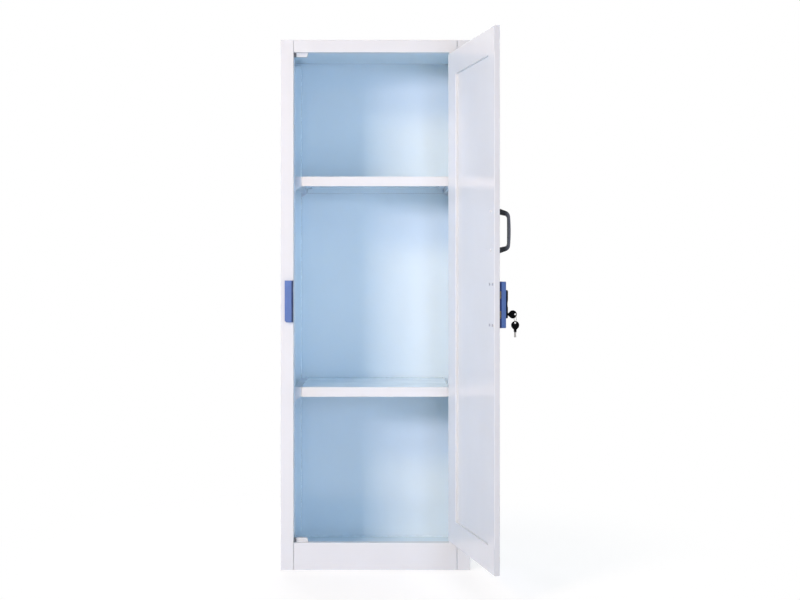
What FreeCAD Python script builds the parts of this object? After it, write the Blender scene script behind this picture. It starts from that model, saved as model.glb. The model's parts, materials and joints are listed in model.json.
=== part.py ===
import FreeCAD, Part
import math
import os

# Acid and alkali storage cabinet, welded from polypropylene sheet, one pivot-hung door.
# All sizes are in millimetres. +X is right, +Y is back, +Z is up.
# The origin is on the floor, under the middle of the cabinet.

# Carcass
WIDTH = 590.0
DEPTH = 450.0
HEIGHT = 1650.0
SHELL = 6.0
LINER = 3.0
STILE_WIDTH = 40.0
FRAME_DEPTH = 24.0
TOP_RAIL = 38.0
SILL = 85.0
BACK_INSET = 20.0
FLOOR_SHEET = 8.0
BEARER_HEIGHT = 14.0
BEARER_WIDTH = 40.0
BEARER_SPACING = 200.0
SEAM_CHAMFER = 0.8
SEAM_GROOVE_LEFT = 1.2
SEAM_GROOVE_RIGHT = 2.2
SEAM_DEPTH = 4.0
WELD_BEAD = 5.0

# Shelf uprights and brackets
UPRIGHT_WIDTH = 33.0
UPRIGHT_DEPTH = 20.0
UPRIGHT_SETBACK = 6.0
UPRIGHT_BOTTOM = 40.0
UPRIGHT_TOP_GAP = 11.0
SLOT_HEIGHT = 14.0
SLOT_WIDTH = 5.0
SLOT_DEPTH = 10.0
SLOT_PITCH = 60.0
SLOT_FIRST = 125.0
SLOT_ROWS = 25
SLOT_PLAY = 0.3
BRACKET_WIDTH = 20.0
LEDGE_WIDTH = 17.0
LEDGE_HEIGHT = 8.0
GUSSET_DROP = 14.0
GUSSET_THICKNESS = 12.0

# Shelves
LOWER_SHELF_ROW = 7
UPPER_SHELF_ROW = 18
SHELF_SHEET = 8.0
SHELF_LIP_HEIGHT = 30.0
SHELF_LIP_SETBACK = 28.0
SHELF_SIDE_GAP = 1.0
SHELF_REAR_GAP = 2.0

# Door
DOOR_GAP = 3.0
DOOR_SETBACK = 1.0
DOOR_SKIN = 8.0
DOOR_BORDER = 8.0
BORDER_WIDTH = 73.0
BORDER_WIDTH_LOCK = 62.0
BORDER_WIDTH_HINGE = 88.0
DOOR_EDGE_RADIUS = 1.5
BORDER_CHAMFER = 1.0
PIVOT_INSET = 17.0
PIVOT_EDGE = 13.0
DOOR_OPEN_ANGLE = 101.5

# Pivots
PIN_RADIUS = 4.0
PIN_IN_DOOR = 30.0
PIN_IN_FRAME = 15.0
BUSH_RADIUS = 6.0
BUSH_LENGTH = 18.0
BUSH_FLANGE_RADIUS = 8.0
BUSH_TOP_FLANGE = 2.0
BUSH_BOTTOM_FLANGE = 2.7
RUNNING_CLEARANCE = 0.05
SEATED_CLEARANCE = 0.05

# Door stops
STOP_HEIGHT = 12.2
STOP_WIDTH = 36.5
STOP_SIDE_GAP = 8.0
STOP_DOOR_GAP = 0.5
STOP_FLANGE = 8.0
STOP_FLANGE_DROP = 24.0
STOP_SLANT = 4.0
STOP_PAD_GAP = 1.5

# Screws
SCREW_RADIUS = 2.0
SCREW_HEAD_RADIUS = 4.0
SCREW_HEAD_HEIGHT = 2.2
SCREW_HEAD_ROUND = 0.9
SCREW_SLOT = 1.0
SCREW_CLEARANCE = 0.1
SCREW_IN_FRAME = 14.0

# Lock on the door, measured from the corner of its case
LOCK_HEIGHT_CENTRE = 836.5
LOCK_EDGE_GAP = 4.0
LOCK_WIDTH = 52.0
LOCK_HEIGHT = 129.0
LOCK_PROUD = 19.5
LOCK_BASE = 6.4
LOCK_WALL = 2.5
LOCK_CAVITY = 88.0
LOCK_CORNER_RADIUS = 3.0
LOCK_SCREW_NEAR = 11.0
LOCK_SCREW_FAR = 40.0
LOCK_SCREW_SPREAD = 57.0
LOCK_SCREW_GRIP = 10.0

# Bolt inside the lock
BOLT_LIFT = 1.7
BOLT_THICKNESS = 3.6
BOLT_TRAVEL = 16.0
BOLT_TIP_INSET = 0.5
BOLT_PLAY = 0.3
TONGUE_LOW = 17.5
TONGUE_HIGH = 37.5
BOLT_BAR_NEAR = 19.0
BOLT_BAR_FAR = 27.0
BOLT_ARM_DROP = 3.0
BOLT_ARM_END = 49.0
SLIDE_ARM_END = 36.0

# Face plate, thumb slide, cylinder and keys
FACE_PLATE_WIDTH = 44.0
FACE_PLATE_HEIGHT = 79.0
FACE_PLATE_RAISE = 1.5
FACE_PLATE_THICKNESS = 7.0
FACE_PLATE_RADIUS = 6.0
FACE_PLATE_ROUND = 2.5
DIP_CENTRE = 1.8
DIP_LENGTH = 24.0
DIP_DEPTH = 1.9
SLIDE_CENTRE = 26.0
SLIDE_STEM_NEAR = 28.0
SLIDE_STEM_FAR = 34.0
SLIDE_STEM_HEIGHT = 10.0
SLIDE_GRIP_WIDTH = 14.0
SLIDE_GRIP_HEIGHT = 24.0
SLIDE_GRIP_RIBS = 4
SLIDE_RIB_DEPTH = 0.9
BEZEL_RISE = 2.0
BEZEL_RADIUS = 9.5
CYLINDER_RADIUS = 7.5
CYLINDER_ACROSS = 34.0
CYLINDER_DOWN = -27.5
CYLINDER_BASE = 8.0
PLUG_RADIUS = 5.0
CAM_RADIUS = 6.0
CAM_LIFT = 0.3
NOTCH_CLEARANCE = 0.3
KEY_THICKNESS = 2.2
KEY_BLADE_HEIGHT = 5.5
KEY_CLEARANCE = 0.1
KEY_TIP = 15.0
KEY_CUT_DEPTH = 1.2
KEY_CUT_PITCH = 3.4
KEY_CUTS = 4
BOW_RADIUS = 11.5
BOW_THICKNESS = 4.2
BOW_CENTRE = 49.0
BOW_NECK = 19.5
BOW_NECK_WIDTH = 7.4
BOW_NECK_STRAIGHT = 7.0
BOW_FLARE_ANGLE = 46.0
BOW_GRIP = 6.0
BOW_HOLE_RADIUS = 3.0
BOW_HOLE_OFFSET = 7.0
RING_RADIUS = 10.0
RING_WIRE = 0.8
RING_PLAY = 0.6

# Keeper on the left stile
KEEPER_WIDTH = 26.0
KEEPER_HEIGHT = 130.0
KEEPER_PROUD = 15.0
KEEPER_EDGE_GAP = 0.5
KEEPER_CHAMFER_WIDTH = 5.0
KEEPER_CHAMFER_DEPTH = 9.0
KEEPER_CORNER_CUT = 5.0
KEEPER_POCKET = 10.0
KEEPER_SCREW_SPREAD = 50.0
KEEPER_SCREW_GRIP = 9.0

# Pull handle
HANDLE_LOCK_GAP = 75.5
HANDLE_EDGE_GAP = 36.0
HANDLE_LENGTH = 130.5
HANDLE_PROUD = 41.0
HANDLE_WIDTH = 14.0
HANDLE_GRIP = 8.0
HANDLE_FOOT = 17.5
HANDLE_SLANT = 13.0
HANDLE_BOW = 3.0
HANDLE_INNER_BOW = 0.5
HANDLE_ROUND = 2.5
HANDLE_SHOULDER_ROUND = 18.0
HANDLE_INNER_ROUND = 8.0
HANDLE_SCREW_SPREAD = 54.5
HANDLE_SCREW_GRIP = 12.0

# How close two levels count as the same
TOLERANCE = 0.01

# Levels that several pieces share
SIDE = WIDTH / 2
FRONT = -DEPTH / 2
REAR = DEPTH / 2
FRAME_BACK = FRONT + FRAME_DEPTH
SIDE_INNER = SIDE - SHELL
LINED_SIDE = SIDE_INNER - LINER
BACK_REAR = REAR - BACK_INSET
BACK_FRONT = BACK_REAR - SHELL
LINED_BACK = BACK_FRONT - LINER
TOP_UNDER = HEIGHT - SHELL
LINED_TOP = TOP_UNDER - LINER
FLOOR_TOP = BEARER_HEIGHT + FLOOR_SHEET
OPENING_SIDE = SIDE - STILE_WIDTH
OPENING_TOP = HEIGHT - TOP_RAIL
OPENING_BOTTOM = SILL

UPRIGHT_INNER = LINED_SIDE - UPRIGHT_WIDTH
UPRIGHT_FRONT = FRAME_BACK + UPRIGHT_SETBACK
UPRIGHT_TOP = LINED_TOP - UPRIGHT_TOP_GAP
BRACKET_INNER = UPRIGHT_INNER - BRACKET_WIDTH
SHELF_SIDE = BRACKET_INNER - SHELF_SIDE_GAP
SHELF_FRONT = FRONT + SHELF_LIP_SETBACK
SHELF_REAR = LINED_BACK - SHELF_REAR_GAP

DOOR_FACE = FRONT + DOOR_SETBACK
DOOR_MIDDLE = DOOR_FACE + DOOR_SKIN
DOOR_INSIDE = DOOR_MIDDLE + DOOR_BORDER
DOOR_BOTTOM = OPENING_BOTTOM + DOOR_GAP
DOOR_TOP = OPENING_TOP - DOOR_GAP
DOOR_FREE = -OPENING_SIDE + DOOR_GAP
PIVOT_X = OPENING_SIDE - PIVOT_INSET
PIVOT_Y = DOOR_MIDDLE
DOOR_HINGED = PIVOT_X + PIVOT_EDGE

LOCK_EDGE = DOOR_FREE + LOCK_EDGE_GAP
BOLT_TOP = BOLT_LIFT + BOLT_THICKNESS
BOLT_ARM_TOP = CYLINDER_DOWN - BOLT_ARM_DROP
FACE_PLATE_TOP = LOCK_PROUD + FACE_PLATE_THICKNESS
BEZEL_TOP = FACE_PLATE_TOP + BEZEL_RISE
BOW_NECK_END = BOW_CENTRE - BOW_NECK
KEY_HOLE = BOW_CENTRE + BOW_HOLE_OFFSET
RING_DROP = BOW_HOLE_RADIUS - RING_WIRE - RING_PLAY
RING_CENTRE = CYLINDER_DOWN - RING_DROP - RING_RADIUS
SPARE_HOLE = RING_CENTRE - RING_RADIUS - RING_DROP
HANDLE_X = DOOR_FREE + HANDLE_EDGE_GAP
HANDLE_CENTRE = LOCK_HEIGHT_CENTRE + LOCK_HEIGHT / 2 + HANDLE_LOCK_GAP + HANDLE_LENGTH / 2

UP = FreeCAD.Vector(0, 0, 1)
BACKWARD = FreeCAD.Vector(0, 1, 0)
RIGHT = FreeCAD.Vector(1, 0, 0)


def block(x0, x1, y0, y1, z0, z1):
    """A box between two limits on each axis, given in either order."""
    low = FreeCAD.Vector(min(x0, x1), min(y0, y1), min(z0, z1))
    return Part.makeBox(abs(x1 - x0), abs(y1 - y0), abs(z1 - z0), low)


def rod(radius, start, end):
    """A round bar between two points."""
    run = end - start
    return Part.makeCylinder(radius, run.Length, start, run)


def prism(points, run):
    """A flat outline pushed along a vector."""
    outline = Part.makePolygon(points + points[:1])
    return Part.Face(outline).extrude(run)


def joined(pieces):
    """Several touching solids made into one."""
    whole = pieces[0].fuse(pieces[1:])
    return whole.removeSplitter()


def mirrored(shape):
    """The same piece on the other side of the cabinet."""
    return shape.mirror(FreeCAD.Vector(0, 0, 0), RIGHT)


def edges_along(shape, axis, test):
    """Straight edges that run along an axis and whose middle passes a test."""
    chosen = []
    for edge in shape.Edges:
        run = edge.Vertexes[-1].Point - edge.Vertexes[0].Point
        if run.Length > 0 and abs(run.dot(axis)) > 0.999 * run.Length and test(edge.CenterOfMass):
            chosen.append(edge)
    return chosen


def near(value, level):
    return abs(value - level) < TOLERANCE


# Frame and panels


def stile_left():
    bar = block(-SIDE, -OPENING_SIDE, FRONT, FRAME_BACK, 0, HEIGHT)
    front_edges = edges_along(bar, UP, lambda c: near(c.y, FRONT))
    bar = bar.makeFillet(SEAM_CHAMFER, front_edges)
    bore_depth = SCREW_HEAD_HEIGHT + SCREW_CLEARANCE
    holes = []
    for x, z in keeper_screw_places():
        start = FreeCAD.Vector(x, FRONT, z)
        seat = FreeCAD.Vector(x, FRAME_BACK - bore_depth, z)
        end = FreeCAD.Vector(x, FRAME_BACK, z)
        holes.append(rod(SCREW_RADIUS + SCREW_CLEARANCE, start, end))
        holes.append(rod(SCREW_HEAD_RADIUS + SCREW_CLEARANCE, seat, end))
    return bar.cut(holes)


def stile_right():
    bar = block(OPENING_SIDE, SIDE, FRONT, FRAME_BACK, 0, HEIGHT)
    front_edges = edges_along(bar, UP, lambda c: near(c.y, FRONT))
    return bar.makeFillet(SEAM_CHAMFER, front_edges)


def frame_rail(z0, z1):
    """A cross bar between the stiles, with a fine groove where it meets each of them."""
    bar = block(-OPENING_SIDE, OPENING_SIDE, FRONT, FRAME_BACK, z0, z1)
    for side, groove in ((-1, SEAM_GROOVE_LEFT), (1, SEAM_GROOVE_RIGHT)):
        end = side * OPENING_SIDE
        bar = bar.cut(block(end, end - side * groove, FRONT, FRONT + SEAM_DEPTH, z0, z1))
    opening = OPENING_TOP if near(z0, OPENING_TOP) else OPENING_BOTTOM
    lip = edges_along(bar, RIGHT, lambda c: near(c.y, FRONT) and near(c.z, opening))
    return bar.makeFillet(SEAM_CHAMFER / 2, lip)


def top_rail():
    bar = frame_rail(OPENING_TOP, HEIGHT)
    start = FreeCAD.Vector(PIVOT_X, PIVOT_Y, OPENING_TOP)
    bore = rod(BUSH_RADIUS + SEATED_CLEARANCE, start, start + UP * (BUSH_LENGTH + SEATED_CLEARANCE))
    return bar.cut([bore] + stop_screw_holes(stop_screw_level_top()))


def sill_rail():
    bar = frame_rail(0, OPENING_BOTTOM)
    start = FreeCAD.Vector(PIVOT_X, PIVOT_Y, OPENING_BOTTOM)
    bore = rod(BUSH_RADIUS + SEATED_CLEARANCE, start, start - UP * (BUSH_LENGTH + SEATED_CLEARANCE))
    return bar.cut([bore] + stop_screw_holes(stop_screw_level_bottom()))


def side_panel_left():
    sheet = block(-SIDE, -SIDE_INNER, FRAME_BACK, REAR, 0, HEIGHT)
    outer = edges_along(sheet, UP, lambda c: near(c.x, -SIDE))
    return sheet.makeFillet(SEAM_CHAMFER, outer)


def weld_beads():
    """Three-cornered beads where the floor meets the lined walls and the sill."""
    beads = []
    for side in (-1, 1):
        wall = side * LINED_SIDE
        corner = [
            FreeCAD.Vector(wall, FRAME_BACK, FLOOR_TOP),
            FreeCAD.Vector(wall - side * WELD_BEAD, FRAME_BACK, FLOOR_TOP),
            FreeCAD.Vector(wall, FRAME_BACK, FLOOR_TOP + WELD_BEAD),
        ]
        beads.append(prism(corner, BACKWARD * (LINED_BACK - FRAME_BACK)))
    run = RIGHT * 2 * (LINED_SIDE - WELD_BEAD)
    for wall, inward in ((FRAME_BACK, 1), (LINED_BACK, -1)):
        x = -LINED_SIDE + WELD_BEAD
        corner = [
            FreeCAD.Vector(x, wall, FLOOR_TOP),
            FreeCAD.Vector(x, wall + inward * WELD_BEAD, FLOOR_TOP),
            FreeCAD.Vector(x, wall, FLOOR_TOP + WELD_BEAD),
        ]
        beads.append(prism(corner, run))
    return Part.makeCompound(beads)


def floor_bearers():
    half = BEARER_WIDTH / 2
    bars = []
    for place in (-1, 0, 1):
        x = place * BEARER_SPACING
        bars.append(block(x - half, x + half, FRAME_BACK, BACK_FRONT, 0, BEARER_HEIGHT))
    return Part.makeCompound(bars)


def carcass_panels():
    left = side_panel_left()
    left_liner = block(-SIDE_INNER, -LINED_SIDE, FRAME_BACK, LINED_BACK, FLOOR_TOP, LINED_TOP)
    return {
        "left_side_panel": left,
        "right_side_panel": mirrored(left),
        "back_panel": block(-SIDE_INNER, SIDE_INNER, BACK_FRONT, BACK_REAR, 0, TOP_UNDER),
        "top_panel": block(-SIDE_INNER, SIDE_INNER, FRAME_BACK, REAR, TOP_UNDER, HEIGHT),
        "floor_panel": block(-SIDE_INNER, SIDE_INNER, FRAME_BACK, BACK_FRONT, BEARER_HEIGHT, FLOOR_TOP),
        "floor_bearers": floor_bearers(),
        "left_stile": stile_left(),
        "right_stile": stile_right(),
        "top_rail": top_rail(),
        "sill_rail": sill_rail(),
        "left_liner": left_liner,
        "right_liner": mirrored(left_liner),
        "back_liner": block(-SIDE_INNER, SIDE_INNER, LINED_BACK, BACK_FRONT, FLOOR_TOP, LINED_TOP),
        "ceiling_liner": block(-SIDE_INNER, SIDE_INNER, FRAME_BACK, BACK_FRONT, LINED_TOP, TOP_UNDER),
        "liner_weld_beads": weld_beads(),
    }


# Uprights, brackets and shelves


def slot_level(row):
    """Height of the bottom of a slot, counted from the lowest row."""
    return SLOT_FIRST + SLOT_PITCH * row


def shelf_top(row):
    """Top of a shelf whose brackets hang, at mid height, in a given row of slots."""
    return slot_level(row) + (SLOT_HEIGHT + SHELF_LIP_HEIGHT) / 2


def slot_middle_front():
    return UPRIGHT_FRONT + UPRIGHT_DEPTH / 2


def slot_middle_rear():
    return LINED_BACK - UPRIGHT_DEPTH / 2


def upright_left(middle):
    bar = block(
        -LINED_SIDE, -UPRIGHT_INNER,
        middle - UPRIGHT_DEPTH / 2, middle + UPRIGHT_DEPTH / 2,
        UPRIGHT_BOTTOM, UPRIGHT_TOP,
    )
    slots = []
    for row in range(SLOT_ROWS):
        z = slot_level(row)
        slots.append(block(
            -UPRIGHT_INNER - SLOT_DEPTH, -UPRIGHT_INNER,
            middle - SLOT_WIDTH / 2, middle + SLOT_WIDTH / 2,
            z, z + SLOT_HEIGHT,
        ))
    return bar.cut(slots)


def bracket_left(row):
    """A bar beside the shelf with a ledge under its board, hung on two hooks."""
    top = shelf_top(row)
    bottom = top - SHELF_LIP_HEIGHT
    ledge_top = top - SHELF_SHEET
    bar = block(-UPRIGHT_INNER, -BRACKET_INNER, UPRIGHT_FRONT, LINED_BACK, bottom, top)
    ledge = block(
        -BRACKET_INNER, -BRACKET_INNER + LEDGE_WIDTH,
        SHELF_FRONT + SHELF_SHEET + SHELF_SIDE_GAP, SHELF_REAR - SHELF_SHEET - SHELF_SIDE_GAP,
        ledge_top - LEDGE_HEIGHT, ledge_top,
    )
    pieces = [bar, ledge]
    hook = SLOT_WIDTH / 2 - SLOT_PLAY
    for middle in (slot_middle_front(), slot_middle_rear()):
        pieces.append(block(
            -UPRIGHT_INNER - SLOT_DEPTH + SLOT_PLAY, -UPRIGHT_INNER,
            middle - hook, middle + hook,
            slot_level(row) + SLOT_PLAY, slot_level(row) + SLOT_HEIGHT - SLOT_PLAY,
        ))
        gusset = [
            FreeCAD.Vector(-UPRIGHT_INNER, middle - GUSSET_THICKNESS / 2, bottom),
            FreeCAD.Vector(-BRACKET_INNER, middle - GUSSET_THICKNESS / 2, bottom),
            FreeCAD.Vector(-UPRIGHT_INNER, middle - GUSSET_THICKNESS / 2, bottom - GUSSET_DROP),
        ]
        pieces.append(prism(gusset, BACKWARD * GUSSET_THICKNESS))
    return joined(pieces)


def shelf_lip(y0, row):
    top = shelf_top(row)
    lip = block(-SHELF_SIDE, SHELF_SIDE, y0, y0 + SHELF_SHEET, top - SHELF_LIP_HEIGHT, top)
    front = edges_along(lip, RIGHT, lambda c: near(c.y, SHELF_FRONT))
    return lip.makeFillet(SEAM_CHAMFER, front) if front else lip


def shelf(name, row):
    top = shelf_top(row)
    board_front = SHELF_FRONT + SHELF_SHEET
    board_rear = SHELF_REAR - SHELF_SHEET
    return {
        name + "_shelf_board": block(
            -SHELF_SIDE, SHELF_SIDE, board_front, board_rear, top - SHELF_SHEET, top),
        name + "_shelf_front_lip": shelf_lip(SHELF_FRONT, row),
        name + "_shelf_rear_lip": shelf_lip(board_rear, row),
    }


def shelf_supports():
    front = upright_left(slot_middle_front())
    rear = upright_left(slot_middle_rear())
    lower = bracket_left(LOWER_SHELF_ROW)
    upper = bracket_left(UPPER_SHELF_ROW)
    return {
        "upright_front_left": front,
        "upright_front_right": mirrored(front),
        "upright_rear_left": rear,
        "upright_rear_right": mirrored(rear),
        "bracket_lower_left": lower,
        "bracket_lower_right": mirrored(lower),
        "bracket_upper_left": upper,
        "bracket_upper_right": mirrored(upper),
    }


# Screws


def screw(tip, seat, outward):
    """A slotted pan screw from its tip to the face its head sits on."""
    shank = rod(SCREW_RADIUS, tip, seat)
    crown = seat + outward * SCREW_HEAD_HEIGHT
    head = rod(SCREW_HEAD_RADIUS, seat, crown)
    rim = [e for e in head.Edges if e.Closed and (e.CenterOfMass - crown).Length < SCREW_SLOT]
    head = head.makeFillet(SCREW_HEAD_ROUND, rim)
    across = outward.cross(UP)
    half = SCREW_HEAD_RADIUS + SCREW_CLEARANCE
    low = seat + outward * (SCREW_HEAD_HEIGHT - SCREW_SLOT)
    outline = [
        low - across * half - UP * SCREW_SLOT / 2,
        low + across * half - UP * SCREW_SLOT / 2,
        low + across * half + UP * SCREW_SLOT / 2,
        low - across * half + UP * SCREW_SLOT / 2,
    ]
    return joined([shank, head]).cut(prism(outline, outward * SCREW_HEAD_HEIGHT))


# Door stops


def stop_left():
    return -OPENING_SIDE + STOP_SIDE_GAP


def stop_screw_level_top():
    return OPENING_TOP + STOP_FLANGE_DROP / 2


def stop_screw_level_bottom():
    return OPENING_BOTTOM - STOP_FLANGE_DROP / 2


def stop_screw_places(level):
    return [(stop_left() + STOP_WIDTH * share, level) for share in (0.25, 0.75)]


def stop_screw_holes(level):
    holes = []
    for x, z in stop_screw_places(level):
        end = FreeCAD.Vector(x, FRAME_BACK, z)
        start = end - BACKWARD * (SCREW_IN_FRAME + SCREW_CLEARANCE)
        holes.append(rod(SCREW_RADIUS + SCREW_CLEARANCE, start, end))
    return holes


def door_stop(edge, inward, level):
    """A block that the closed door meets, with a flange screwed behind the frame."""
    left = stop_left()
    face = DOOR_INSIDE + STOP_DOOR_GAP
    rear = FRAME_BACK + STOP_FLANGE
    outline = [
        FreeCAD.Vector(left, face, edge),
        FreeCAD.Vector(left + STOP_WIDTH, face, edge),
        FreeCAD.Vector(left + STOP_WIDTH - STOP_SLANT, face, edge + inward * STOP_HEIGHT),
        FreeCAD.Vector(left, face, edge + inward * STOP_HEIGHT),
    ]
    body = prism(outline, BACKWARD * (rear - face))
    flange = block(left, left + STOP_WIDTH, FRAME_BACK, rear, edge, edge - inward * STOP_FLANGE_DROP)
    holes = []
    for x, z in stop_screw_places(level):
        start = FreeCAD.Vector(x, FRAME_BACK, z)
        holes.append(rod(SCREW_RADIUS + SCREW_CLEARANCE, start, start + BACKWARD * STOP_FLANGE))
    return joined([body, flange]).cut(holes)


def stop_pad(edge, inward):
    """A dark rubber block between a stop and the stile beside it."""
    left = -OPENING_SIDE + STOP_PAD_GAP
    face = DOOR_INSIDE + STOP_DOOR_GAP
    return block(left, stop_left(), face, FRAME_BACK, edge, edge + inward * STOP_HEIGHT)


def door_stop_screws():
    screws = []
    for level in (stop_screw_level_top(), stop_screw_level_bottom()):
        for x, z in stop_screw_places(level):
            seat = FreeCAD.Vector(x, FRAME_BACK + STOP_FLANGE, z)
            tip = FreeCAD.Vector(x, FRAME_BACK - SCREW_IN_FRAME, z)
            screws.append(screw(tip, seat, BACKWARD))
    return Part.makeCompound(screws)


# Keeper


def keeper_right():
    return -OPENING_SIDE - KEEPER_EDGE_GAP


def keeper_screw_places():
    x = keeper_right() - KEEPER_WIDTH / 2
    return [(x, LOCK_HEIGHT_CENTRE + side * KEEPER_SCREW_SPREAD) for side in (-1, 1)]


def lock_keeper():
    right = keeper_right()
    left = right - KEEPER_WIDTH
    face = FRONT - KEEPER_PROUD
    low = LOCK_HEIGHT_CENTRE - KEEPER_HEIGHT / 2
    outline = [
        FreeCAD.Vector(left, FRONT, low),
        FreeCAD.Vector(right, FRONT, low),
        FreeCAD.Vector(right, face + KEEPER_CHAMFER_DEPTH, low),
        FreeCAD.Vector(right - KEEPER_CHAMFER_WIDTH, face, low),
        FreeCAD.Vector(left, face, low),
    ]
    body = prism(outline, UP * KEEPER_HEIGHT)
    left_corner = edges_along(body, BACKWARD, lambda c: near(c.x, left) and near(c.z, low))
    body = body.makeChamfer(KEEPER_CORNER_CUT, left_corner)
    front_left = edges_along(body, UP, lambda c: near(c.y, face) and near(c.x, left))
    body = body.makeFillet(SEAM_CHAMFER, front_left)
    cuts = []
    pocket_top = DOOR_FACE - BOLT_TOP - BOLT_PLAY
    for side in (-1, 1):
        cuts.append(block(
            right - KEEPER_POCKET, right, pocket_top, FRONT,
            LOCK_HEIGHT_CENTRE + side * (TONGUE_LOW - BOLT_PLAY),
            LOCK_HEIGHT_CENTRE + side * (TONGUE_HIGH + BOLT_PLAY),
        ))
    for x, z in keeper_screw_places():
        start = FreeCAD.Vector(x, FRONT, z)
        depth = KEEPER_SCREW_GRIP + SCREW_CLEARANCE
        cuts.append(rod(SCREW_RADIUS + SCREW_CLEARANCE, start, start - BACKWARD * depth))
    return body.cut(cuts)


def keeper_screws():
    screws = []
    for x, z in keeper_screw_places():
        seat = FreeCAD.Vector(x, FRAME_BACK - SCREW_HEAD_HEIGHT - SCREW_CLEARANCE, z)
        tip = FreeCAD.Vector(x, FRONT - KEEPER_SCREW_GRIP, z)
        screws.append(screw(tip, seat, BACKWARD))
    return Part.makeCompound(screws)


# Pivots


def pivot_bush(level, into_frame, flange):
    start = FreeCAD.Vector(PIVOT_X, PIVOT_Y, level)
    sleeve = rod(BUSH_RADIUS, start, start + into_frame * BUSH_LENGTH)
    collar = rod(BUSH_FLANGE_RADIUS, start - into_frame * flange, start)
    bore_start = start - into_frame * flange
    bore = rod(PIN_RADIUS + RUNNING_CLEARANCE, bore_start, start + into_frame * BUSH_LENGTH)
    return joined([sleeve, collar]).cut(bore)


def pivot_pin(door_edge, frame_edge, into_frame):
    start = FreeCAD.Vector(PIVOT_X, PIVOT_Y, door_edge) - into_frame * PIN_IN_DOOR
    end = FreeCAD.Vector(PIVOT_X, PIVOT_Y, frame_edge) + into_frame * PIN_IN_FRAME
    return rod(PIN_RADIUS, start, end)


def pin_bore(door_edge, into_frame):
    start = FreeCAD.Vector(PIVOT_X, PIVOT_Y, door_edge) - into_frame * (PIN_IN_DOOR + SEATED_CLEARANCE)
    end = FreeCAD.Vector(PIVOT_X, PIVOT_Y, door_edge) + into_frame * DOOR_GAP
    return rod(PIN_RADIUS + SEATED_CLEARANCE, start, end)


# Door leaf, drawn closed


def door_screw_places():
    """Middle of each screw that comes through the door from inside, and how far it grips outside."""
    places = []
    for across in (LOCK_SCREW_NEAR, LOCK_SCREW_FAR):
        for side in (-1, 1):
            z = LOCK_HEIGHT_CENTRE + side * LOCK_SCREW_SPREAD
            places.append((LOCK_EDGE + across, z, LOCK_SCREW_GRIP))
    for side in (-1, 1):
        places.append((HANDLE_X, HANDLE_CENTRE + side * HANDLE_SCREW_SPREAD, HANDLE_SCREW_GRIP))
    return places


def door_screw_holes():
    holes = []
    for x, z, grip in door_screw_places():
        start = FreeCAD.Vector(x, DOOR_FACE - grip - SCREW_CLEARANCE, z)
        end = FreeCAD.Vector(x, DOOR_INSIDE, z)
        holes.append(rod(SCREW_RADIUS + SCREW_CLEARANCE, start, end))
    return holes


def door_screws(places):
    screws = []
    for x, z, grip in places:
        seat = FreeCAD.Vector(x, DOOR_INSIDE, z)
        tip = FreeCAD.Vector(x, DOOR_FACE - grip, z)
        screws.append(screw(tip, seat, BACKWARD))
    return Part.makeCompound(screws)


def door_leaf():
    holes = door_screw_holes() + [pin_bore(DOOR_TOP, UP), pin_bore(DOOR_BOTTOM, -UP)]
    skin = block(DOOR_FREE, DOOR_HINGED, DOOR_FACE, DOOR_MIDDLE, DOOR_BOTTOM, DOOR_TOP)
    outer = [e for e in skin.Edges if near(e.CenterOfMass.y, DOOR_FACE)]
    skin = skin.makeFillet(DOOR_EDGE_RADIUS, outer)
    inner_free = DOOR_FREE + BORDER_WIDTH_LOCK
    inner_hinged = DOOR_HINGED - BORDER_WIDTH_HINGE
    inner_low = DOOR_BOTTOM + BORDER_WIDTH
    inner_high = DOOR_TOP - BORDER_WIDTH
    top = block(DOOR_FREE, DOOR_HINGED, DOOR_MIDDLE, DOOR_INSIDE, inner_high, DOOR_TOP)
    bottom = block(DOOR_FREE, DOOR_HINGED, DOOR_MIDDLE, DOOR_INSIDE, DOOR_BOTTOM, inner_low)
    lock_side = block(DOOR_FREE, inner_free, DOOR_MIDDLE, DOOR_INSIDE, inner_low, inner_high)
    hinge_side = block(inner_hinged, DOOR_HINGED, DOOR_MIDDLE, DOOR_INSIDE, inner_low, inner_high)
    rims = (
        (top, RIGHT, lambda c: near(c.y, DOOR_INSIDE) and near(c.z, DOOR_TOP)),
        (bottom, RIGHT, lambda c: near(c.y, DOOR_INSIDE) and near(c.z, DOOR_BOTTOM)),
        (lock_side, UP, lambda c: near(c.y, DOOR_INSIDE)),
        (hinge_side, UP, lambda c: near(c.y, DOOR_INSIDE)),
    )
    strips = []
    for strip, axis, test in rims:
        strip = strip.makeChamfer(BORDER_CHAMFER, edges_along(strip, axis, test))
        strips.append(strip.cut(holes))
    return {
        "door_skin": skin.cut(holes),
        "door_border_top": strips[0],
        "door_border_bottom": strips[1],
        "door_border_lock": strips[2],
        "door_border_hinge": strips[3],
        "pivot_pin_top": pivot_pin(DOOR_TOP, OPENING_TOP, UP),
        "pivot_pin_bottom": pivot_pin(DOOR_BOTTOM, OPENING_BOTTOM, -UP),
    }


# Pull handle


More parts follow.
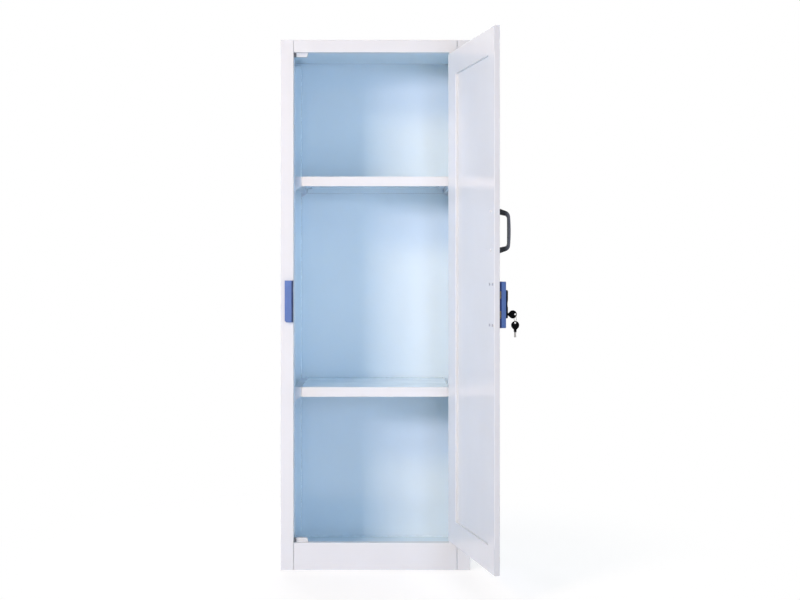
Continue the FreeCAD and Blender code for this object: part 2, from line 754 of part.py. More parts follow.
def pull_handle():
    """A bow seen from the side, pushed out to its width and rounded."""
    x = HANDLE_X - HANDLE_WIDTH / 2
    half = HANDLE_LENGTH / 2
    out = HANDLE_PROUD - HANDLE_BOW
    under = HANDLE_PROUD - HANDLE_GRIP - HANDLE_INNER_BOW

    def at(n, q):
        return FreeCAD.Vector(x, DOOR_FACE - n, HANDLE_CENTRE + q)

    crest = at(HANDLE_PROUD, 0)
    hollow = at(HANDLE_PROUD - HANDLE_GRIP, 0)
    shoulder = half - HANDLE_SLANT
    inside = shoulder - HANDLE_FOOT + HANDLE_SLANT / 2
    sides = [
        Part.LineSegment(at(0, -half), at(out, -shoulder)),
        Part.Arc(at(out, -shoulder), crest, at(out, shoulder)),
        Part.LineSegment(at(out, shoulder), at(0, half)),
        Part.LineSegment(at(0, half), at(0, half - HANDLE_FOOT)),
        Part.LineSegment(at(0, half - HANDLE_FOOT), at(under, inside)),
        Part.Arc(at(under, inside), hollow, at(under, -inside)),
        Part.LineSegment(at(under, -inside), at(0, -half + HANDLE_FOOT)),
        Part.LineSegment(at(0, -half + HANDLE_FOOT), at(0, -half)),
    ]
    outline = Part.Wire([side.toShape() for side in sides])
    body = Part.Face(outline).extrude(RIGHT * HANDLE_WIDTH)
    shoulders = edges_along(body, RIGHT, lambda c: near(c.y, DOOR_FACE - out))
    body = body.makeFillet(HANDLE_SHOULDER_ROUND, shoulders)
    inner_corners = edges_along(body, RIGHT, lambda c: near(c.y, DOOR_FACE - under))
    body = body.makeFillet(HANDLE_INNER_ROUND, inner_corners)
    rims = [edge for edge in body.Edges if edge.BoundBox.XLength < HANDLE_ROUND]
    rims = [edge for edge in rims if not near(edge.CenterOfMass.y, DOOR_FACE)]
    return body.makeFillet(HANDLE_ROUND, rims).cut(door_screw_holes())


# Lock, drawn on the closed door


def lock_point(across, up, out):
    """A point by distance from the case's free edge, height over its middle, and distance off the door."""
    return FreeCAD.Vector(LOCK_EDGE + across, DOOR_FACE - out, LOCK_HEIGHT_CENTRE + up)


def lock_block(p0, p1, q0, q1, n0, n1):
    low = lock_point(p0, q0, n0)
    high = lock_point(p1, q1, n1)
    return block(low.x, high.x, low.y, high.y, low.z, high.z)


def lock_rod(radius, across, up, n0, n1):
    return rod(radius, lock_point(across, up, n0), lock_point(across, up, n1))


def slide_slot(n0, n1):
    """The way that the stem of the thumb slide needs through a wall."""
    half = SLIDE_STEM_HEIGHT / 2 + BOLT_PLAY
    near_end = SLIDE_STEM_NEAR - BOLT_TRAVEL - BOLT_PLAY
    far_end = SLIDE_STEM_FAR + BOLT_PLAY
    return lock_block(near_end, far_end, SLIDE_CENTRE - half, SLIDE_CENTRE + half, n0, n1)


def cylinder_hole(n0, n1):
    return lock_rod(CYLINDER_RADIUS + SEATED_CLEARANCE, CYLINDER_ACROSS, CYLINDER_DOWN, n0, n1)


def lock_slab(n0, n1):
    """The lock's outline with rounded corners, between two distances off the door."""
    half = LOCK_HEIGHT / 2
    body = lock_block(0, LOCK_WIDTH, -half, half, n0, n1)
    return body.makeFillet(LOCK_CORNER_RADIUS, edges_along(body, BACKWARD, lambda c: True))


def lock_room(n0, n1):
    """The space inside the lock that the bolt moves in."""
    room = LOCK_CAVITY / 2
    return lock_block(LOCK_WALL, LOCK_WIDTH - LOCK_WALL, -room, room, n0, n1)


def lock_base():
    """A frame against the door, with a window for each tongue in its free edge."""
    cuts = [lock_room(0, LOCK_BASE)]
    for side in (-1, 1):
        low = side * (TONGUE_LOW - BOLT_PLAY)
        high = side * (TONGUE_HIGH + BOLT_PLAY)
        cuts.append(lock_block(0, LOCK_WALL, low, high, 0, BOLT_TOP + BOLT_PLAY))
    return lock_slab(0, LOCK_BASE).cut(cuts + door_screw_holes())


def lock_case():
    """The cover on the base."""
    roof = LOCK_PROUD - LOCK_WALL
    body = lock_slab(LOCK_BASE, LOCK_PROUD)
    rim = [e for e in body.Edges if near(e.CenterOfMass.y, DOOR_FACE - LOCK_PROUD)]
    body = body.makeFillet(DOOR_EDGE_RADIUS, rim)
    cuts = [lock_room(LOCK_BASE, roof), slide_slot(roof, LOCK_PROUD), cylinder_hole(roof, LOCK_PROUD)]
    return body.cut(cuts + door_screw_holes())


def lock_face_plate():
    near_side = (LOCK_WIDTH - FACE_PLATE_WIDTH) / 2
    far_side = near_side + FACE_PLATE_WIDTH
    low = FACE_PLATE_RAISE - FACE_PLATE_HEIGHT / 2
    plate = lock_block(near_side, far_side, low, low + FACE_PLATE_HEIGHT, LOCK_PROUD, FACE_PLATE_TOP)
    plate = plate.makeFillet(FACE_PLATE_RADIUS, edges_along(plate, BACKWARD, lambda c: True))
    rim = [e for e in plate.Edges if near(e.CenterOfMass.y, DOOR_FACE - FACE_PLATE_TOP)]
    plate = plate.makeFillet(FACE_PLATE_ROUND, rim)
    dip_radius = (DIP_LENGTH ** 2 / 4 + DIP_DEPTH ** 2) / (2 * DIP_DEPTH)
    dip_level = FACE_PLATE_TOP - DIP_DEPTH + dip_radius
    dip_start = lock_point(0, DIP_CENTRE, dip_level)
    dip = rod(dip_radius, dip_start, dip_start + RIGHT * LOCK_WIDTH)
    slot = slide_slot(LOCK_PROUD, FACE_PLATE_TOP)
    hole = cylinder_hole(LOCK_PROUD, FACE_PLATE_TOP)
    return plate.cut([dip, slot, hole])


def lock_cylinder():
    barrel = lock_rod(CYLINDER_RADIUS, CYLINDER_ACROSS, CYLINDER_DOWN, CYLINDER_BASE, FACE_PLATE_TOP)
    bezel = lock_rod(BEZEL_RADIUS, CYLINDER_ACROSS, CYLINDER_DOWN, FACE_PLATE_TOP, BEZEL_TOP)
    rim = [e for e in bezel.Edges if e.Closed and near(e.CenterOfMass.y, DOOR_FACE - BEZEL_TOP)]
    bezel = bezel.makeChamfer(SEAM_CHAMFER, rim)
    bore_radius = PLUG_RADIUS + RUNNING_CLEARANCE
    bore = lock_rod(bore_radius, CYLINDER_ACROSS, CYLINDER_DOWN, CYLINDER_BASE, BEZEL_TOP)
    return joined([barrel, bezel]).cut(bore)


def bolt_plate():
    """Two tongues on one bar; the lower arm has a notch for the cam at each end of the travel."""
    n0 = BOLT_LIFT
    n1 = BOLT_TOP
    pieces = [
        lock_block(BOLT_TIP_INSET, BOLT_BAR_FAR, TONGUE_LOW, TONGUE_HIGH, n0, n1),
        lock_block(BOLT_TIP_INSET, BOLT_BAR_FAR, -TONGUE_HIGH, -TONGUE_LOW, n0, n1),
        lock_block(BOLT_BAR_NEAR, BOLT_BAR_FAR, -TONGUE_LOW, TONGUE_LOW, n0, n1),
        lock_block(BOLT_BAR_FAR, SLIDE_ARM_END, TONGUE_LOW, TONGUE_HIGH, n0, n1),
        lock_block(BOLT_BAR_FAR, BOLT_ARM_END, -TONGUE_HIGH, BOLT_ARM_TOP, n0, n1),
    ]
    notch = CAM_RADIUS + NOTCH_CLEARANCE
    cuts = []
    for shift in (0, BOLT_TRAVEL):
        cuts.append(lock_rod(notch, CYLINDER_ACROSS + shift, CYLINDER_DOWN, n0, n1))
    return joined(pieces).cut(cuts)


def thumb_slide():
    """A ribbed grip on the face plate, on a stem that stands on the bolt."""
    half = SLIDE_STEM_HEIGHT / 2
    stem = lock_block(
        SLIDE_STEM_NEAR, SLIDE_STEM_FAR, SLIDE_CENTRE - half, SLIDE_CENTRE + half,
        BOLT_TOP, FACE_PLATE_TOP + BOLT_PLAY,
    )
    middle = (SLIDE_STEM_NEAR + SLIDE_STEM_FAR) / 2
    near_side = middle - SLIDE_GRIP_WIDTH / 2
    low = SLIDE_CENTRE - SLIDE_GRIP_HEIGHT / 2
    grip = lock_block(
        near_side, near_side + SLIDE_GRIP_WIDTH, low, low + SLIDE_GRIP_HEIGHT,
        FACE_PLATE_TOP + BOLT_PLAY, BEZEL_TOP + BOLT_PLAY,
    )
    grip = grip.makeFillet(FACE_PLATE_RADIUS / 2, edges_along(grip, BACKWARD, lambda c: True))
    grooves = []
    pitch = SLIDE_GRIP_WIDTH / (SLIDE_GRIP_RIBS + 1)
    for rib in range(SLIDE_GRIP_RIBS):
        p = near_side + pitch * (rib + 1)
        grooves.append(lock_block(
            p - pitch / 5, p + pitch / 5, low, low + SLIDE_GRIP_HEIGHT,
            BEZEL_TOP + BOLT_PLAY - SLIDE_RIB_DEPTH, BEZEL_TOP + BOLT_PLAY,
        ))
    return joined([stem, grip.cut(grooves)])


def cylinder_plug():
    """The turning core; its cam has a flat that lets the bolt arm pass at rest."""
    cam_top = BOLT_TOP + CAM_LIFT
    core = lock_rod(PLUG_RADIUS, CYLINDER_ACROSS, CYLINDER_DOWN, cam_top, BEZEL_TOP)
    cam = lock_rod(CAM_RADIUS, CYLINDER_ACROSS, CYLINDER_DOWN, BOLT_LIFT + CAM_LIFT, cam_top)
    flat = lock_block(
        CYLINDER_ACROSS - CAM_RADIUS, CYLINDER_ACROSS + CAM_RADIUS,
        CYLINDER_DOWN - CAM_RADIUS, BOLT_ARM_TOP + NOTCH_CLEARANCE, BOLT_LIFT, cam_top,
    )
    slot = KEY_THICKNESS / 2 + KEY_CLEARANCE
    tall = KEY_BLADE_HEIGHT / 2 + KEY_CLEARANCE
    keyway = lock_block(
        CYLINDER_ACROSS - slot, CYLINDER_ACROSS + slot, CYLINDER_DOWN - tall, CYLINDER_DOWN + tall,
        KEY_TIP - KEY_CLEARANCE, BEZEL_TOP,
    )
    return joined([core, cam.cut(flat)]).cut(keyway)


# Keys are drawn in the lock; the spare is the same key turned to hang down


def key_blade():
    p = CYLINDER_ACROSS
    q = CYLINDER_DOWN
    half = KEY_BLADE_HEIGHT / 2
    end = BOW_NECK_END + BOW_GRIP
    blade = lock_block(
        p - KEY_THICKNESS / 2, p + KEY_THICKNESS / 2, q - half, q + half, KEY_TIP, end)
    cuts = []
    for cut in range(KEY_CUTS):
        n = KEY_TIP + KEY_CUT_PITCH * (cut + 0.5)
        notch = [
            lock_point(p - KEY_THICKNESS, q - half, n - KEY_CUT_PITCH / 3),
            lock_point(p - KEY_THICKNESS, q - half + KEY_CUT_DEPTH, n),
            lock_point(p - KEY_THICKNESS, q - half, n + KEY_CUT_PITCH / 3),
        ]
        cuts.append(prism(notch, RIGHT * KEY_THICKNESS * 2))
    return blade.cut(cuts)


def key_bow():
    side = CYLINDER_ACROSS - BOW_THICKNESS / 2
    across = RIGHT * BOW_THICKNESS
    centre = lock_point(side, CYLINDER_DOWN, BOW_CENTRE)
    disc = rod(BOW_RADIUS, centre, centre + across)
    flare = math.radians(BOW_FLARE_ANGLE)
    wide = BOW_RADIUS * math.sin(flare)
    narrow = BOW_NECK_WIDTH / 2
    meet = BOW_CENTRE - BOW_RADIUS * math.cos(flare)
    straight = BOW_NECK_END + BOW_NECK_STRAIGHT
    profile = [(-narrow, BOW_NECK_END), (-narrow, straight), (-wide, meet)]
    profile += [(-q, n) for q, n in reversed(profile)]
    neck = prism([lock_point(side, CYLINDER_DOWN + q, n) for q, n in profile], across)
    body = joined([disc, neck])
    rims = [edge for edge in body.Edges if edge.BoundBox.XLength < TOLERANCE]
    body = body.makeFillet(SEAM_CHAMFER, rims)
    hole_centre = lock_point(side, CYLINDER_DOWN, KEY_HOLE)
    hole = rod(BOW_HOLE_RADIUS, hole_centre, hole_centre + across)
    slot = KEY_THICKNESS / 2 + SEATED_CLEARANCE
    tall = KEY_BLADE_HEIGHT / 2 + SEATED_CLEARANCE
    socket = lock_block(
        CYLINDER_ACROSS - slot, CYLINDER_ACROSS + slot, CYLINDER_DOWN - tall, CYLINDER_DOWN + tall,
        BOW_NECK_END, BOW_NECK_END + BOW_GRIP + SEATED_CLEARANCE,
    )
    return body.cut([hole, socket])


def hung(shape):
    """The spare key: turned about its hole so that the blade points down, then lowered on the ring."""
    hanging = shape.copy()
    hole = lock_point(CYLINDER_ACROSS, CYLINDER_DOWN, KEY_HOLE)
    hanging.rotate(hole, RIGHT, -90)
    hanging.translate(UP * (SPARE_HOLE - CYLINDER_DOWN))
    return hanging


def key_ring():
    centre = lock_point(CYLINDER_ACROSS, RING_CENTRE, KEY_HOLE)
    return Part.makeTorus(RING_RADIUS, RING_WIRE, centre, BACKWARD)


def door_fittings():
    places = door_screw_places()
    blade = key_blade()
    bow = key_bow()
    return {
        "pull_handle": pull_handle(),
        "handle_screws": door_screws(places[4:]),
        "lock_base": lock_base(),
        "lock_case": lock_case(),
        "lock_face_plate": lock_face_plate(),
        "lock_screws": door_screws(places[:4]),
        "lock_cylinder": lock_cylinder(),
        "bolt_plate": bolt_plate(),
        "thumb_slide": thumb_slide(),
        "cylinder_plug": cylinder_plug(),
        "key_blade": blade,
        "key_bow": bow,
        "key_ring": key_ring(),
        "spare_key_blade": hung(blade),
        "spare_key_bow": hung(bow),
    }


def opened(shape):
    """A piece of the closed door turned out to where the door stands."""
    turned = shape.copy()
    turned.rotate(FreeCAD.Vector(PIVOT_X, PIVOT_Y, 0), UP, DOOR_OPEN_ANGLE)
    return turned


def cabinet():
    pieces = carcass_panels()
    pieces.update(shelf_supports())
    pieces.update(shelf("lower", LOWER_SHELF_ROW))
    pieces.update(shelf("upper", UPPER_SHELF_ROW))
    pieces["door_stop_top"] = door_stop(OPENING_TOP, -1, stop_screw_level_top())
    pieces["door_stop_bottom"] = door_stop(OPENING_BOTTOM, 1, stop_screw_level_bottom())
    pieces["stop_pad_top"] = stop_pad(OPENING_TOP, -1)
    pieces["stop_pad_bottom"] = stop_pad(OPENING_BOTTOM, 1)
    pieces["door_stop_screws"] = door_stop_screws()
    pieces["lock_keeper"] = lock_keeper()
    pieces["keeper_screws"] = keeper_screws()
    pieces["pivot_bush_top"] = pivot_bush(OPENING_TOP, UP, BUSH_TOP_FLANGE)
    pieces["pivot_bush_bottom"] = pivot_bush(OPENING_BOTTOM, -UP, BUSH_BOTTOM_FLANGE)
    door = door_leaf()
    door.update(door_fittings())
    for name, shape in door.items():
        pieces[name] = opened(shape)
    return pieces


os.makedirs("parts", exist_ok=True)
PIECES = cabinet()
for piece_name, piece_shape in PIECES.items():
    piece_shape.exportStep("parts/" + piece_name + ".step")
print(len(PIECES), "pieces written")
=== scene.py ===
import json
import math

import bpy
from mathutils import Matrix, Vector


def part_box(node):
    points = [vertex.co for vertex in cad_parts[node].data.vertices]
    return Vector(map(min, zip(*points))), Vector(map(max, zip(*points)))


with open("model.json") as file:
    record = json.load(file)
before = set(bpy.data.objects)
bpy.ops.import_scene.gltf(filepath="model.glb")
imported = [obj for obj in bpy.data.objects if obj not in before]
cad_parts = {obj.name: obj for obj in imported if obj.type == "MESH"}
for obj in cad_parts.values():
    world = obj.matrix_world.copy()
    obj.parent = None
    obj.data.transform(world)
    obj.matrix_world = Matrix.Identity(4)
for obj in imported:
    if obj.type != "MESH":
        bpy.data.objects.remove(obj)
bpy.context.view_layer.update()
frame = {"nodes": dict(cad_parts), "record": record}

# Camera, from the photograph's perspective (metres, and pixels of an 800 by 600 picture)
IMAGE_WIDTH = 800
IMAGE_HEIGHT = 600
SENSOR_MM = 36.0
CAMERA_DISTANCE = 4.386
CAMERA_HEIGHT = 0.9236
CAMERA_REACH = 60.0
FOCAL_PIXELS = 1337.0
VANISHING_X = 375.45
VANISHING_Y = 273.4

# Colours are linear red, green, blue
WHITE_SHEET = (0.705, 0.745, 0.76)
BLUE_SHEET = (0.735, 0.89, 0.985)
BRACKET = (0.60, 0.70, 0.80)
LOCK_BLUE = (0.060, 0.130, 0.350)
KEEPER_BLUE = (0.105, 0.18, 0.42)
KEEPER_PAINTED_SHADE = (0.022, 0.042, 0.13)
LOCK_NAVY = (0.013, 0.024, 0.110)
BLACK = (0.0015, 0.0016, 0.0018)
HANDLE = (0.004, 0.0043, 0.005)
HANDLE_PAINTED_LIGHT = (0.120, 0.128, 0.148)
BRASS = (0.11, 0.092, 0.055)
NICKEL = (0.30, 0.28, 0.25)
PIVOT = (0.70, 0.70, 0.71)
SCREW = (0.36, 0.38, 0.42)
STOP_PAD_GREY = (0.22, 0.22, 0.235)

# Surfaces: most of a noise pattern lies between its low and high value, and the painted light
# on the handle's grip starts and is full at shares of the handle's reach from the door
PLASTIC_IOR = 1.49
NOISE_LOW = 0.3
NOISE_HIGH = 0.7
HANDLE_PAINTED_LIGHT_START = 0.58
HANDLE_PAINTED_LIGHT_FULL = 0.92

# Studio (metres); the floor's levels are greys, and its shadow is full inside a share of the radius
FLOOR_RADIUS = 9.0
FLOOR_SIDES = 128
FLOOR_BOUNCE = 0.86
FLOOR_ROUGHNESS = 0.9
FLOOR_SHADE = 0.42
FLOOR_LIFT = 0.66
SHADOW_RADIUS = 1.3
SHADOW_CORE = 0.25
WORLD_TINT = (0.75, 0.90, 1.0)
WORLD_STRENGTH = 0.03
LAMP_AIM = (0.0, 0.0, 0.9)
LAMP_CENTRE_Y = -0.2

# Sockets of the colour mix node, which share their names with others and are reached by number
MIX_FACTOR = 0
MIX_FIRST = 6
MIX_SECOND = 7
MIX_RESULT = 2


# Shader building blocks


class Shader:
    """A material with a Principled shader and short calls for the nodes that feed it."""

    def __init__(self, name, colour, roughness, metallic=0.0, shine=0.5):
        self.material = bpy.data.materials.new(name)
        self.material.use_nodes = True
        self.tree = self.material.node_tree
        self.bsdf = self.tree.nodes["Principled BSDF"]
        self.bsdf.inputs["Base Color"].default_value = opaque(colour)
        self.bsdf.inputs["Roughness"].default_value = roughness
        self.bsdf.inputs["Metallic"].default_value = metallic
        self.bsdf.inputs["IOR"].default_value = PLASTIC_IOR
        self.bsdf.inputs["Specular IOR Level"].default_value = shine
        coordinates = self.node("ShaderNodeTexCoord")
        self.place = coordinates.outputs["Object"]
        self.direction = coordinates.outputs["Normal"]
        self.relief = None

    def node(self, kind):
        return self.tree.nodes.new(kind)

    def link(self, source, target):
        self.tree.links.new(source, target)

    def drawn_out(self, share):
        """Places on the piece that change more slowly along Z, for a pattern of upright streaks."""
        mapping = self.node("ShaderNodeMapping")
        mapping.inputs["Scale"].default_value = (1.0, 1.0, share)
        self.link(self.place, mapping.inputs["Vector"])
        return mapping.outputs["Vector"]

    def noise(self, scale, detail=2.0, grit=0.5, streak=None):
        """A cloudy pattern; its scale is per metre, and a streak is its share of change along Z."""
        texture = self.node("ShaderNodeTexNoise")
        texture.inputs["Scale"].default_value = scale
        texture.inputs["Detail"].default_value = detail
        texture.inputs["Roughness"].default_value = grit
        vector = self.drawn_out(streak) if streak else self.place
        self.link(vector, texture.inputs["Vector"])
        return texture.outputs["Fac"]

    def cells(self, scale):
        """A pattern of small rounded cells; its scale is per metre."""
        texture = self.node("ShaderNodeTexVoronoi")
        texture.inputs["Scale"].default_value = scale
        self.link(self.place, texture.inputs["Vector"])
        return texture.outputs["Distance"]

    def along(self, vector, axis):
        """One axis of a vector: metres for the place, or -1 to 1 for the surface's direction."""
        split = self.node("ShaderNodeSeparateXYZ")
        self.link(vector, split.inputs["Vector"])
        return split.outputs[axis]

    def spread(self, value, low, high, out_low, out_high):
        """A value moved from one range to another and kept inside it."""
        node = self.node("ShaderNodeMapRange")
        node.inputs["From Min"].default_value = low
        node.inputs["From Max"].default_value = high
        node.inputs["To Min"].default_value = out_low
        node.inputs["To Max"].default_value = out_high
        self.link(value, node.inputs["Value"])
        return node.outputs["Result"]

    def tint(self, colour, value, start, full, most=1.0):
        """Lays a colour over what is there: none where the value is at start, most of it at full."""
        node = self.node("ShaderNodeMix")
        node.data_type = "RGBA"
        socket = self.bsdf.inputs["Base Color"]
        if socket.is_linked:
            self.link(socket.links[0].from_socket, node.inputs[MIX_FIRST])
        else:
            node.inputs[MIX_FIRST].default_value = socket.default_value
        node.inputs[MIX_SECOND].default_value = opaque(colour)
        self.link(self.spread(value, start, full, 0.0, most), node.inputs[MIX_FACTOR])
        self.link(node.outputs[MIX_RESULT], socket)

    def roughen(self, pattern, low, high):
        """Lets the roughness follow a noise pattern between two values."""
        roughness = self.spread(pattern, NOISE_LOW, NOISE_HIGH, low, high)
        self.link(roughness, self.bsdf.inputs["Roughness"])

    def bump(self, height, depth, strength):
        """Raises the surface by a pattern, over any earlier one; depth is in metres."""
        node = self.node("ShaderNodeBump")
        node.inputs["Strength"].default_value = strength
        node.inputs["Distance"].default_value = depth
        self.link(height, node.inputs["Height"])
        if self.relief:
            self.link(self.relief, node.inputs["Normal"])
        self.relief = node.outputs["Normal"]
        self.link(self.relief, self.bsdf.inputs["Normal"])


def opaque(colour):
    return (*colour, 1.0)


def grey(level):
    return opaque((level, level, level))


def darker(colour, share):
    return tuple(channel * share for channel in colour)


def paler(colour, gain, lift):
    return tuple(min(1.0, channel * gain + lift) for channel in colour)


# Materials


def sheet_material(name, colour, roughness, shine):
    """Extruded plastic sheet: slow waves, a fine skin, faint clouding and rubbed streaks."""
    shader = Shader(name, colour, roughness, shine=shine)
    clouds = shader.noise(scale=3.5, detail=3.0)
    shader.tint(darker(colour, 0.975), clouds, start=0.38, full=0.66)
    rubbed = shader.noise(scale=9.0, grit=0.45, streak=0.2)
    shader.tint(darker(colour, 0.96), rubbed, start=0.45, full=0.75, most=0.3)
    polish = shader.noise(scale=12.0, detail=3.0, streak=0.4)
    shader.roughen(polish, roughness - 0.03, roughness + 0.05)
    waves = shader.noise(scale=5.0, detail=1.0)
    shader.bump(waves, depth=0.0006, strength=0.15)
    skin = shader.noise(scale=1100.0, detail=1.0)
    shader.bump(skin, depth=0.00001, strength=0.35)
    return shader.material


def bead_material(name, colour):
    """Hand-laid weld: the same plastic with a ripple every few millimetres."""
    shader = Shader(name, colour, roughness=0.34)
    stains = shader.noise(scale=60.0, detail=3.0)
    shader.tint(darker(colour, 0.88), stains, start=0.4, full=0.65, most=0.6)
    ripple = shader.noise(scale=260.0)
    shader.bump(ripple, depth=0.0008, strength=0.7)
    return shader.material


def moulding(name, colour, roughness, grain, shine=0.5):
    """Injection moulding: etched grain of a depth in metres, paler specks and slow darker patches."""
    shader = Shader(name, colour, roughness, shine=shine)
    specks = shader.noise(scale=45.0, detail=4.0, grit=0.6)
    shader.tint(paler(colour, gain=1.35, lift=0.002), specks, start=0.5, full=0.78, most=0.55)
    patches = shader.noise(scale=9.0)
    shader.tint(darker(colour, 0.82), patches, start=0.4, full=0.7, most=0.4)
    polish = shader.noise(scale=70.0, detail=3.0)
    shader.roughen(polish, roughness - 0.06, roughness + 0.08)
    shader.bump(shader.cells(scale=1500.0), grain, strength=0.6)
    shader.bump(shader.noise(scale=2600.0), grain * 0.6, strength=0.5)
    return shader


def keeper_material():
    """The lock's blue, a little lighter, with painted shade on the faces turned to the right, the side that
    the tongues enter.
    """
    shader = moulding("keeper_skin", KEEPER_BLUE, roughness=0.33, grain=0.00004, shine=0.3)
    painted_shade_facing = shader.along(shader.direction, "X")
    # Painted shade: faces that turn to the right, away from the lamps, are darkened to the side colour.
    shader.tint(KEEPER_PAINTED_SHADE, painted_shade_facing, start=0.4, full=0.6)
    return shader.material


def handle_material():
    """Black moulding with painted light: grey along the grip, away from the door, while the feet by the door
    stay black as painted shade.
    """
    shader = moulding("handle_skin", HANDLE, roughness=0.30, grain=0.00006, shine=0.2)
    low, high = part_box("pull_handle")
    reach = high[0] - low[0]
    outward = shader.along(shader.place, "X")
    start = low[0] + reach * HANDLE_PAINTED_LIGHT_START
    full = low[0] + reach * HANDLE_PAINTED_LIGHT_FULL
    # Painted light: grey on the grip away from the door; the feet by the door stay black as painted shade.
    shader.tint(HANDLE_PAINTED_LIGHT, outward, start, full)
    return shader.material


def metal_material(name, colour, roughness):
    """Plated or drawn metal with fine brushing and a few dull spots."""
    shader = Shader(name, colour, roughness, metallic=1.0)
    spots = shader.noise(scale=180.0, detail=4.0, grit=0.65)
    shader.tint(darker(colour, 0.72), spots, start=0.5, full=0.75, most=0.6)
    brushed = shader.noise(scale=900.0, detail=3.0, grit=0.6, streak=0.06)
    shader.roughen(brushed, roughness - 0.08, roughness + 0.12)
    shader.bump(brushed, depth=0.00003, strength=0.5)
    return shader.material


def cabinet_materials():
    """One material for each slot that the record names."""
    mouldings = {
        "bracket_grey": moulding("bracket_skin", BRACKET, roughness=0.42, grain=0.00003),
        "lock_blue": moulding("lock_skin", LOCK_BLUE, roughness=0.33, grain=0.00004, shine=0.3),
        "lock_navy": moulding("lock_base_skin", LOCK_NAVY, roughness=0.36, grain=0.00004, shine=0.15),
        "black_plastic": moulding("black_skin", BLACK, roughness=0.30, grain=0.00004, shine=0.03),
        "pivot_plastic": moulding("pivot_skin", PIVOT, roughness=0.38, grain=0.00002),
        "screw_plastic": moulding("screw_skin", SCREW, roughness=0.38, grain=0.00002),
    }
    materials = {slot: shader.material for slot, shader in mouldings.items()}
    materials["white_sheet"] = sheet_material("white_sheet_skin", WHITE_SHEET, roughness=0.15, shine=0.3)
    materials["blue_sheet"] = sheet_material("blue_sheet_skin", BLUE_SHEET, roughness=0.09, shine=0.5)
    materials["handle_grey"] = handle_material()
    materials["bolt_brass"] = metal_material("brass_skin", BRASS, roughness=0.30)
    materials["key_metal"] = metal_material("nickel_skin", NICKEL, roughness=0.24)
    return materials


def dress_nodes():
    """Gives every solid the material of its slot in the record, and a few solids one of their own."""
    materials = cabinet_materials()
    # The stop pads are a plain mid grey, darker than the white parts beside them.
    stop_pad_look = moulding("stop_pad_skin", STOP_PAD_GREY, roughness=0.55, grain=0.00003, shine=0.2).material
    special = {
        "liner_weld_beads": bead_material("bead_skin", BLUE_SHEET),
        "lock_keeper": keeper_material(),
        "handle_screws": materials["pivot_plastic"],
        "stop_pad_top": stop_pad_look,
        "stop_pad_bottom": stop_pad_look,
    }
    for subpart in frame["record"]["subparts"]:
        name = subpart["node"]
        node = frame["nodes"][name]
        node.data.materials.clear()
        node.data.materials.append(special.get(name, materials[subpart["material_slot"]]))


# Studio


def backdrop_factor(tree):
    """1 for rays that should see the plain white background, 0 for rays that carry light."""
    path = tree.nodes.new("ShaderNodeLightPath")
    total = path.outputs["Is Camera Ray"]
    for kind in ("Is Glossy Ray", "Is Transmission Ray"):
        node = tree.nodes.new("ShaderNodeMath")
        node.operation = "MAXIMUM"
        tree.links.new(total, node.inputs[0])
        tree.links.new(path.outputs[kind], node.inputs[1])
        total = node.outputs["Value"]
    return total


def mixed(tree, factor, first, second):
    """The first shader where the factor is 0, the second where it is 1."""
    mix = tree.nodes.new("ShaderNodeMixShader")
    tree.links.new(factor, mix.inputs["Fac"])
    tree.links.new(first, mix.inputs[1])
    tree.links.new(second, mix.inputs[2])
    return mix.outputs["Shader"]


def glow(tree, strength):
    """Plain white light of a given strength."""
    node = tree.nodes.new("ShaderNodeEmission")
    node.inputs["Strength"].default_value = strength
    return node.outputs["Emission"]


def make_world():
    """A faint blue light from all around, behind a background that is seen as plain white."""
    world = bpy.data.worlds.new("studio_world")
    bpy.context.scene.world = world
    world.use_nodes = True
    tree = world.node_tree
    light = tree.nodes["Background"]
    light.inputs["Color"].default_value = opaque(WORLD_TINT)
    light.inputs["Strength"].default_value = WORLD_STRENGTH
    seen = tree.nodes.new("ShaderNodeBackground")
    seen.inputs["Color"].default_value = grey(1.0)
    surface = mixed(tree, backdrop_factor(tree), light.outputs["Background"], seen.outputs["Background"])
    tree.links.new(surface, tree.nodes["World Output"].inputs["Surface"])


def distance_fade(tree, start, end):
    """0 near the middle of the floor, rising smoothly to 1 between two distances from it."""
    place = tree.nodes.new("ShaderNodeNewGeometry")
    distance = tree.nodes.new("ShaderNodeVectorMath")
    distance.operation = "LENGTH"
    tree.links.new(place.outputs["Position"], distance.inputs[0])
    fade = tree.nodes.new("ShaderNodeMapRange")
    fade.interpolation_type = "SMOOTHSTEP"
    fade.inputs["From Min"].default_value = start
    fade.inputs["From Max"].default_value = end
    tree.links.new(distance.outputs["Value"], fade.inputs["Value"])
    return fade.outputs["Result"]


def floor_material():
    """Matt white for the light it throws back, and a soft shadow in plain white where it is seen."""
    material = bpy.data.materials.new("studio_floor_skin")
    material.use_nodes = True
    tree = material.node_tree
    matt = tree.nodes["Principled BSDF"]
    matt.inputs["Base Color"].default_value = grey(FLOOR_BOUNCE)
    matt.inputs["Roughness"].default_value = FLOOR_ROUGHNESS
    matt.inputs["Specular IOR Level"].default_value = 0.0
    shade = tree.nodes.new("ShaderNodeBsdfDiffuse")
    shade.inputs["Color"].default_value = grey(FLOOR_SHADE)
    near = tree.nodes.new("ShaderNodeAddShader")
    tree.links.new(shade.outputs["BSDF"], near.inputs[0])
    tree.links.new(glow(tree, FLOOR_LIFT), near.inputs[1])
    fade = distance_fade(tree, SHADOW_RADIUS * SHADOW_CORE, SHADOW_RADIUS)
    seen = mixed(tree, fade, near.outputs["Shader"], glow(tree, 1.0))
    surface = mixed(tree, backdrop_factor(tree), matt.outputs["BSDF"], seen)
    tree.links.new(surface, tree.nodes["Material Output"].inputs["Surface"])
    return material


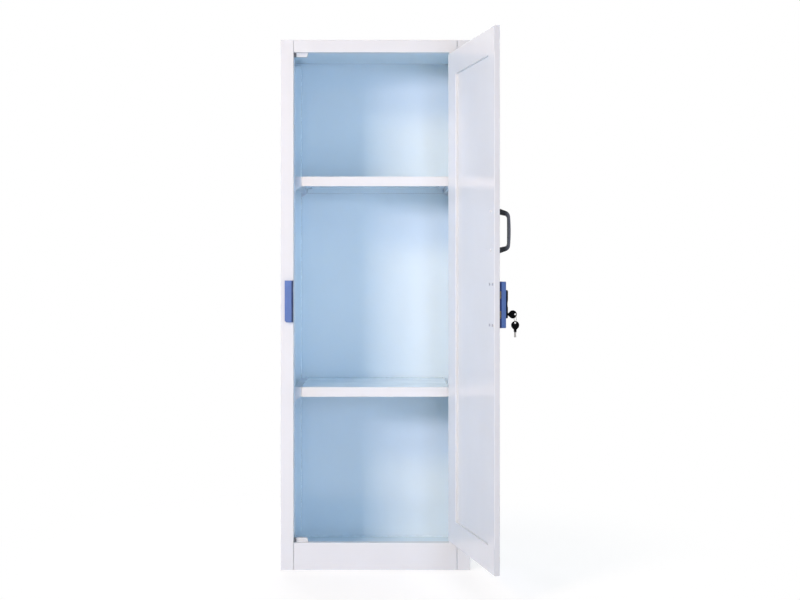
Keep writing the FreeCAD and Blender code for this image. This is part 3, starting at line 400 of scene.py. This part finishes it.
def make_floor():
    """A disc that shows a soft shadow near the cabinet and fades to plain white around it."""
    bpy.ops.mesh.primitive_circle_add(vertices=FLOOR_SIDES, radius=FLOOR_RADIUS, fill_type="NGON")
    floor = bpy.context.object
    floor.name = "studio_floor"
    floor.data.materials.append(floor_material())


def around(degrees_left, distance, height):
    """A lamp's place by its angle to the left of the cabinet's front, seen by someone facing it."""
    turn = math.radians(degrees_left)
    return (-distance * math.sin(turn), LAMP_CENTRE_Y - distance * math.cos(turn), height)


def make_softbox(name, place, size, watts, colour):
    """A rectangular lamp, turned to the middle of the cabinet."""
    lamp = bpy.data.lights.new(name, "AREA")
    lamp.shape = "RECTANGLE"
    lamp.size, lamp.size_y = size
    lamp.energy = watts
    lamp.color = colour
    holder = bpy.data.objects.new(name, lamp)
    bpy.context.collection.objects.link(holder)
    holder.location = place
    aim = [end - start for start, end in zip(place, LAMP_AIM)]
    yaw = math.atan2(-aim[0], aim[1])
    pitch = math.atan2(aim[2], math.hypot(aim[0], aim[1]))
    holder.rotation_euler = (math.pi / 2 + pitch, 0.0, yaw)


def make_lamps():
    make_softbox("key_light", around(37, 5.0, 1.8), size=(1.5, 0.6), watts=118.0, colour=(1.0, 0.855, 0.92))
    make_softbox("high_key", around(37, 4.8, 3.1), size=(1.5, 0.8), watts=90.0, colour=(1.0, 0.69, 0.34))
    make_softbox("front_fill", around(-15, 5.0, 1.0), size=(1.4, 1.6), watts=66.0, colour=(0.64, 0.74, 1.0))
    make_softbox("high_fill", around(-12, 4.8, 3.1), size=(1.6, 1.2), watts=14.0, colour=(0.93, 1.0, 1.0))
    make_softbox("left_fill", around(72, 4.7, 1.6), size=(2.0, 2.0), watts=72.0, colour=(0.41, 0.65, 1.0))
    make_softbox("right_fill", around(-108, 5.0, 2.2), size=(2.2, 2.2), watts=110.0, colour=(0.94, 0.97, 1.0))
    make_softbox("back_fill", around(170, 5.0, 4.6), size=(2.5, 2.5), watts=150.0, colour=(0.96, 0.98, 1.0))
    make_softbox("top_fill", (0.0, 0.5, 4.6), size=(2.0, 2.0), watts=30.0, colour=(0.96, 0.98, 1.0))


def make_camera():
    """A level camera, shifted so that the vanishing point falls where the photograph has it."""
    camera = bpy.data.cameras.new("photo_camera")
    holder = bpy.data.objects.new("photo_camera", camera)
    bpy.context.collection.objects.link(holder)
    holder.location = (0.0, -CAMERA_DISTANCE, CAMERA_HEIGHT)
    holder.rotation_euler = (math.pi / 2, 0.0, 0.0)
    camera.sensor_width = SENSOR_MM
    camera.lens = FOCAL_PIXELS / IMAGE_WIDTH * SENSOR_MM
    camera.shift_x = (IMAGE_WIDTH / 2 - VANISHING_X) / IMAGE_WIDTH
    camera.shift_y = (VANISHING_Y - IMAGE_HEIGHT / 2) / IMAGE_WIDTH
    camera.clip_end = CAMERA_REACH
    bpy.context.scene.camera = holder


dress_nodes()
make_camera()
make_world()
make_floor()
make_lamps()
bpy.context.scene.view_settings.view_transform = "Standard"
